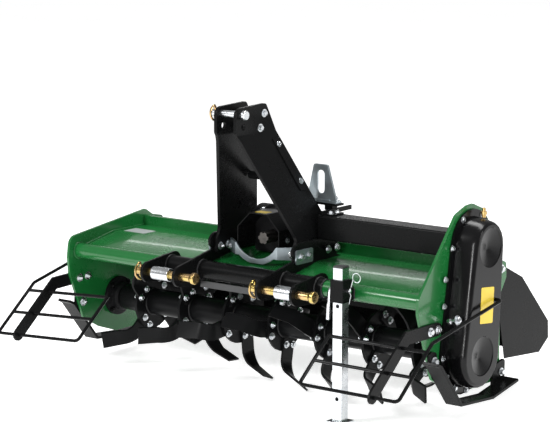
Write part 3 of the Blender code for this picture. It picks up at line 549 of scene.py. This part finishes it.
def cradle_tabs():
    """The ends of the driveline cradle, bolted flat on the outside of the inner hitch plates."""
    shape = bmesh.new()
    for side in SIDES:
        face = side * (HITCH_X["inner"] + HITCH_HALF + 0.0002)
        outline = ((0.140, 0.046), (0.217, 0.046), (0.217, 0.085), (0.140, 0.085))
        corners = [at(face, y, z) for y, z in outline]
        plate(shape, rounded_corners(corners, 0.006), CRADLE_TAB - 0.0002, (side, 0, 0))
    new_piece(shape, "cradle_tabs", "frame", LOOKS["galvanised"])


def hitch_bolts():
    rows, nuts = [], []
    for side in SIDES:
        outer = side * (HITCH_X["inner"] + HITCH_HALF)
        for y, z in ((0.163, 0.065), (0.198, 0.065), (0.294, 0.068), (0.335, 0.068)):
            pad = CRADLE_TAB if y < 0.25 else 0.0
            rows.append((at(outer + side * pad, y, z), (side, 0, 0), 0.013))
            nuts.append((at(side * 0.1307, y, z), (-side, 0, 0), 0.013, 0.005))
    for y, z in MAST_BOLTS:
        rows.append((at(MAST_OUT, y, z), (1, 0, 0), 0.013))
        nuts.append((at(-MAST_OUT, y, z), (-1, 0, 0), 0.013, 0.005))
    bolts("mast_bolts", rows)
    bolts("mast_nuts", nuts)

    shape = bmesh.new()
    for y, z in MAST_BOLTS:
        here = stand_on(at(-MAST_IN, y, z), (1, 0, 0))
        lathe(shape, here, ((0, 0), (0.0075, 0), (0.0075, 2 * MAST_IN), (0, 2 * MAST_IN)), 18)
    new_piece(shape, "mast_bolt_tubes", "frame", LOOKS["black_paint"])


def gearbox_bolts():
    rows = []
    for k in range(6):
        turn = radians(30 + 60 * k)
        rows.append((at(-0.094, 0.306 + 0.036 * cos(turn), 0.112 + 0.036 * sin(turn)),
                     (-1, 0, 0), 0.010))
    for x, y in ((-0.060, 0.268), (-0.060, 0.332), (0.062, 0.268)):
        rows.append((at(x, y, GEARBOX_TOP), (0, 0, 1), 0.010))
    rows.append((at(0.162, 0.313, 0.2035), (0, 0, 1), 0.013, 0.005))
    for x, y in ((0.170, 0.276), (0.170, 0.305)):
        rows.append((at(x, y, 0.1730), (0, 0, 1), 0.011))
    for side in SIDES:
        rows.append((at(side * 0.0735, 0.205, PTO_Z), (side, 0, 0), 0.010))
    bolts("gearbox_bolts", rows)
    wing = Vector((0.0465, -0.0535, 0)).normalized()
    rows = [(at(side * 0.108, 0.1805, 0.063), (side * wing.x, wing.y, 0), 0.012)
            for side in SIDES]
    bolts("cradle_bolts", rows)


def tine_bolts():
    """Two bolts through each blade and its flange, with nuts on the far side."""
    face = 0.0104
    for k, x in enumerate(FLANGES):
        shape = bmesh.new()
        for quarter in range(4):
            side = 1 if quarter % 2 == 0 else -1
            turn = Matrix.Rotation(-(TINE_START + k * TINE_TWIST + quarter * pi / 2), 4, "X")
            for across in (0.004, 0.036):
                spot = turn @ Vector((0, across, -0.060))
                centre = at(x, ROTOR_Y, ROTOR_Z) + spot
                add_bolt(shape, centre + Vector((side * face, 0, 0)), (side, 0, 0), 0.012)
                add_bolt(shape, centre - Vector((side * 0.004, 0, 0)), (-side, 0, 0), 0.012, 0.003)
        new_piece(shape, f"tine_bolts_{k + 1}", "rotor", LOOKS["zinc"], 28)


def hinge_ends():
    rows = []
    for side in SIDES:
        rows.append((at(side * PLATE_X, 0.452, 0.045), (side, 0, 0), 0.014))
    bolts("hinge_nuts", rows)


def stand_details():
    """A dark cap on the leg, the locking pin's ring clip and the socket's clamp screw."""
    shape = bmesh.new()
    half = STAND_HALF + 0.0006
    low, high = STAND_TOP - 0.001, STAND_TOP + 0.0035
    corners = [at(STAND_X + half * a, STAND_Y + half * b, low)
               for a, b in ((-1, -1), (1, -1), (1, 1), (-1, 1))]
    plate(shape, rounded_corners(corners, 0.003), high - low, (0, 0, 1))
    new_piece(shape, "stand_cap", "parking_stand", DARK_RUBBER)

    shape = bmesh.new()
    eye_x, eye_z, eye_r, wire = STAND_X + 0.050, 0.060, 0.0125, 0.0014
    path = [at(eye_x + eye_r * cos(a), STAND_Y, eye_z + eye_r * sin(a))
            for a in [radians(250 - 15 * i) for i in range(28)]]
    wave = ((0.036, 0.036), (0.029, 0.024), (0.036, 0.012), (0.029, -0.012))
    path += [at(STAND_X + x, STAND_Y - 0.004, z) for x, z in wave]
    sweep(shape, path, lambda i: wire, 8)
    stem = stand_on(at(STAND_X + 0.0206, STAND_Y, 0.022), (1, 0, 0))
    lathe(shape, stem, ((0, 0), (0.0054, 0), (0.0054, 0.010), (0.0040, 0.012), (0, 0.012)), 16)
    new_piece(shape, "stand_clip", "frame", LOOKS["zinc"])


PIN_HUB = 0.0052                      # radius of a linch pin's hub


def linch_details():
    """A hub for each linch pin where its wire enters the hitch pin."""
    shape = bmesh.new()
    for x, y, z, radius in ((0.120, 0, 0, PIN_HUB), (-0.286, 0, 0, PIN_HUB),
                            (-0.052, 0.044, 0.460, PIN_HUB * 0.9)):
        for up in (1, -1):
            reach = 0.0112 if radius == PIN_HUB else 0.0097
            here = stand_on(at(x, y, z + up * reach), (0, 0, up))
            lathe(shape, here, ((0, 0), (radius, 0), (radius, 0.003), (radius * 0.7, 0.005),
                                (0, 0.005)), 16)
    new_piece(shape, "linch_hubs", "frame", LOOKS["yellow_zinc"])


# --- welds ----------------------------------------------------------------------------
def deck_welds():
    shape = bmesh.new()
    for side in SIDES:
        x = side * (PLATE_IN - 0.0012)
        seam = [at(x, 0.126, deck_height(0.126) + 0.001), at(x, 0.245, DECK_TOP + 0.001),
                at(x, 0.384, DECK_TOP + 0.001)]
        add_weld(shape, seam)
        add_weld(shape, arc_points(x, (TUBE_Y, TUBE_Z), TUBE_R + 0.0012, -20, 300))
    for low, high in ((-0.600, -0.292), (0.292, 0.600)):
        add_weld(shape, [at(low, 0.1205, 0.0178), at(high, 0.1205, 0.0178)], 0.0022)
    new_piece(shape, "deck_welds", "frame", WELD_GREEN, 60)


def hitch_welds():
    shape = bmesh.new()
    for side in SIDES:
        for place, x in HITCH_X.items():
            for face in (-1, 1):
                spot = side * (x + face * (HITCH_HALF + 0.001))
                if abs(spot) > SLEEVE_X:
                    continue
                add_weld(shape, arc_points(spot, (TUBE_Y, TUBE_Z), SLEEVE_R + 0.001, 40, 300))
        end = side * (SLEEVE_X + 0.001)
        add_weld(shape, arc_points(end, (TUBE_Y, TUBE_Z), TUBE_R + 0.0016, -10, 320), 0.0024)
    for y in (0.2550, 0.3250):
        add_weld(shape, [at(0.608, y, 0.112), at(0.608, y, 0.164)])
    add_weld(shape, [at(0.608, 0.257, 0.1688), at(0.608, 0.323, 0.1688)])
    for side in (-1, 1):
        add_weld(shape, [at(STAND_X + side * 0.0186, 0.0765, -0.006),
                         at(STAND_X + side * 0.0186, 0.0765, 0.022)])
    new_piece(shape, "hitch_welds", "frame", WELD_BLACK, 60)


def rotor_welds():
    shape = bmesh.new()
    for x in FLANGES:
        for face in (-1, 1):
            ring = arc_points(x + face * 0.005, (ROTOR_Y, ROTOR_Z), 0.0388, 0, 360, 60)
            add_weld(shape, ring, 0.0028)
    new_piece(shape, "rotor_welds", "rotor", WELD_BLACK, 60)


def lug_welds():
    shape = bmesh.new()
    add_weld(shape, [at(0.074, 0.2990, 0.2045), at(0.150, 0.2990, 0.2045)], 0.0024)
    new_piece(shape, "lug_weld", "frame", LOOKS["galvanised"], 60)


# --- plates and labels ----------------------------------------------------------------
def labels():
    shape = bmesh.new()
    corners = [at(COVER_X + 0.0002, y, z)
               for y, z in ((0.246, 0.034), (0.241, -0.063), (0.303, -0.070), (0.309, 0.027))]
    plate(shape, rounded_corners(corners, 0.004), 0.0004, (1, 0, 0))
    new_piece(shape, "cover_label", "frame", YELLOW_FILM)

    shape = bmesh.new()
    top = PTO_Z + 0.0737
    corners = [at(x, y, top) for x, y in ((-0.020, 0.178), (0.020, 0.178), (0.020, 0.206),
                                         (-0.020, 0.206))]
    plate(shape, rounded_corners(corners, 0.002), 0.0004, (0, 0, 1))
    new_piece(shape, "guard_label", "frame", YELLOW_FILM)

    shape = bmesh.new()
    low = DECK_TOP + 0.0003
    corners = [at(x, y, low) for x, y in ((-0.585, 0.268), (-0.505, 0.268), (-0.505, 0.322),
                                          (-0.585, 0.322))]
    plate(shape, rounded_corners(corners, 0.004), 0.0006, (0, 0, 1))
    for x in (-0.579, -0.511):
        for y in (0.274, 0.316):
            here = stand_on(at(x, y, low + 0.0005), (0, 0, 1))
            lathe(shape, here, ((0, 0), (0.0022, 0), (0.0018, 0.0009), (0, 0.0013)), 12)
    new_piece(shape, "deck_nameplate", "frame", SILVER_FILM)


STRIP_T = 0.0035


def mast_strip():
    """The raised strip along the rear edge of the mast's upper half, on the chain side."""
    def outer(z):
        lean = (MAST_HIGH_Z - z) / (MAST_HIGH_Z - MAST_LOW_Z)
        return MAST_OUT + max(0.0, lean * (MAST_LOW_X - MAST_OUT)) + 0.0002

    ends = ((0.169, 0.382), (0.202, 0.385), (0.272, 0.232), (0.232, 0.236))
    corners = [at(outer(z), y, z) for y, z in ends]
    normal = (corners[1] - corners[0]).cross(corners[3] - corners[0]).normalized()
    if normal.x < 0:
        normal = -normal
    shape = bmesh.new()
    plate(shape, rounded_corners(corners, 0.004), STRIP_T, normal)
    new_piece(shape, "mast_strip", "frame", LOOKS["black_paint"])
    spots = [at(outer(z), y, z) + normal * STRIP_T for y, z in ((0.190, 0.366), (0.243, 0.260))]
    bolts("mast_strip_bolts", [(spot, normal, 0.0095) for spot in spots])


def sleeve_bar():
    """The flat bar under the hitch sleeve, between the inner hitch plates."""
    shape = bmesh.new()
    corners = [at(x, 0.085, z) for x, z in ((-0.140, -0.042), (0.140, -0.042), (0.140, -0.024),
                                            (-0.140, -0.024))]
    plate(shape, corners, 0.006, (0, 1, 0))
    new_piece(shape, "sleeve_bar", "frame", BAR_GREY)


# --- stage ----------------------------------------------------------------------------
FLOOR_HALF = 45.0


def make_floor():
    g = Graph("pale_floor")
    tone = g.remap(g.noise(1.4, 3.0), 0.3, 0.7, 0.0, 1.0)
    colour = g.mix(tone, (0.90, 0.90, 0.90), (0.94, 0.94, 0.94))
    look = g.finish(colour, g.remap(tone, 0.0, 1.0, 0.60, 0.70))
    g.shader.inputs["Emission Color"].default_value = (1.0, 1.0, 1.0, 1.0)
    g.shader.inputs["Emission Strength"].default_value = 0.68
    shape = bmesh.new()
    bmesh.ops.create_grid(shape, x_segments=1, y_segments=1, size=FLOOR_HALF)
    mesh = bpy.data.meshes.new("floor")
    shape.to_mesh(mesh)
    shape.free()
    floor = bpy.data.objects.new("floor", mesh)
    floor.location.z = -0.0006
    bpy.context.scene.collection.objects.link(floor)
    mesh.materials.append(look)


def soft_light(name, place, target, power, width, height):
    lamp = bpy.data.lights.new(name, "AREA")
    lamp.shape = "RECTANGLE"
    lamp.size = width
    lamp.size_y = height
    lamp.energy = power
    obj = bpy.data.objects.new(name, lamp)
    obj.location = place
    obj.rotation_euler = (Vector(target) - Vector(place)).to_track_quat("-Z", "Y").to_euler()
    bpy.context.scene.collection.objects.link(obj)


def make_light():
    world = bpy.data.worlds.new("studio")
    world.use_nodes = True
    world.node_tree.nodes["Background"].inputs["Color"].default_value = (1.0, 1.0, 1.0, 1.0)
    world.node_tree.nodes["Background"].inputs["Strength"].default_value = 0.34
    bpy.context.scene.world = world
    bpy.context.scene.view_settings.view_transform = "Standard"
    middle = (0.0, 0.0, 0.35)
    soft_light("key", (-1.6, -3.4, 3.0), middle, 110.0, 1.2, 1.2)
    soft_light("top", (0.3, 0.6, 3.6), middle, 80.0, 2.4, 0.9)
    soft_light("side", (3.8, 0.6, 2.0), middle, 50.0, 0.5, 1.8)
    soft_light("strip", (1.3, -3.7, 1.1), middle, 40.0, 0.20, 1.5)
    soft_light("back", (-2.8, 3.2, 1.60), middle, 3.5, 2.6, 0.12)


def make_camera():
    """The camera of the photograph, turned a little so that it needs no shift."""
    data = bpy.data.cameras.new("camera")
    data.lens = 144.36
    data.sensor_width = 36.0
    data.clip_end = 60.0
    obj = bpy.data.objects.new("camera", data)
    back = Vector((0.61576, -0.76638, 0.18296)).normalized()
    right = Vector((0, 0, 1)).cross(back).normalized()
    up = back.cross(right)
    aim = (-back + right * 0.02308 + up * 0.01613).normalized()
    turn = aim.to_track_quat("-Z", "Y").to_matrix() @ Matrix.Rotation(radians(0.174), 3, "Z")
    obj.matrix_world = Matrix.Translation(at(3.7052, -4.59485, 1.19931)) @ turn.to_4x4()
    bpy.context.scene.collection.objects.link(obj)
    bpy.context.scene.camera = obj


make_skins()
chain_case_bolts()
tensioner()
guard_and_skid_bolts()
cradle_tabs()
hitch_bolts()
gearbox_bolts()
tine_bolts()
hinge_ends()
stand_details()
linch_details()
deck_welds()
hitch_welds()
rotor_welds()
lug_welds()
labels()
mast_strip()
sleeve_bar()
make_floor()
make_light()
make_camera()
